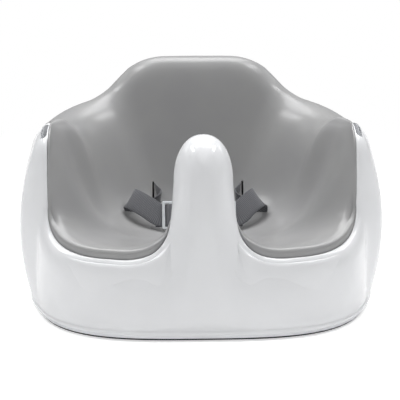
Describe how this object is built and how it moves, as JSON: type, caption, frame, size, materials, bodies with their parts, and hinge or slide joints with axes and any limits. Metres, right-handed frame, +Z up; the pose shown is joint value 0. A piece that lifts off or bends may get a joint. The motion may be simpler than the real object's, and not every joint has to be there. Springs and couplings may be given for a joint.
{
  "type": "baby floor seat",
  "caption": "Moulded floor seat for a baby, with a high back, a central pommel, wide leg openings, a soft one-piece liner and a buckled harness.",
  "frame": {"origin": "on the floor, below the middle of the seat's bounding box", "axes": "+Z up, -Y the way the child faces, +X to the right of someone looking along +Y at the front"},
  "size_m": [0.378, 0.3283, 0.2208],
  "materials": {
    "shell_white": "satin",
    "liner_foam": "matt, fine-skinned foam",
    "base_grey": "matt",
    "foot_rubber": "matt",
    "screw_steel": "zinc plated",
    "webbing": "woven",
    "anchor_plastic": "matt",
    "buckle_grey": "satin",
    "button_grey": "satin",
    "spring_steel": "bright"
  },
  "bodies": {
    "seat": {"shell": "shell_white", "seat_liner": "liner_foam", "base_plate": "base_grey", "foot_ring": "foot_rubber", "base_screws": "screw_steel", "waist_strap_left": "webbing", "waist_strap_right": "webbing", "crotch_strap": "webbing", "waist_anchor_left": "anchor_plastic", "waist_anchor_right": "anchor_plastic", "crotch_anchor": "anchor_plastic", "buckle_front": "buckle_grey", "buckle_back": "buckle_grey", "button_spring": "spring_steel"},
    "button": {"release_button": "button_grey"},
    "left_tongue": {"tongue_left": "buckle_grey"},
    "right_tongue": {"tongue_right": "buckle_grey"}
  },
  "joints": [
    {"name": "tongue_left_slide", "type": "slide", "parent": "seat", "child": "left_tongue", "axis": [-1, 0, 0], "range_m": [0, 0.015], "deforming": ["waist_strap_left"]},
    {"name": "tongue_right_slide", "type": "slide", "parent": "seat", "child": "right_tongue", "axis": [1, 0, 0], "range_m": [0, 0.015], "deforming": ["waist_strap_right"]},
    {"name": "release_button_press", "type": "slide", "parent": "seat", "child": "button", "axis": [0, 0.866, -0.5], "range_m": [0, 0.002], "stiffness_N_per_m": 800, "springref_m": -0.002, "deforming": ["button_spring"]}
  ]
}
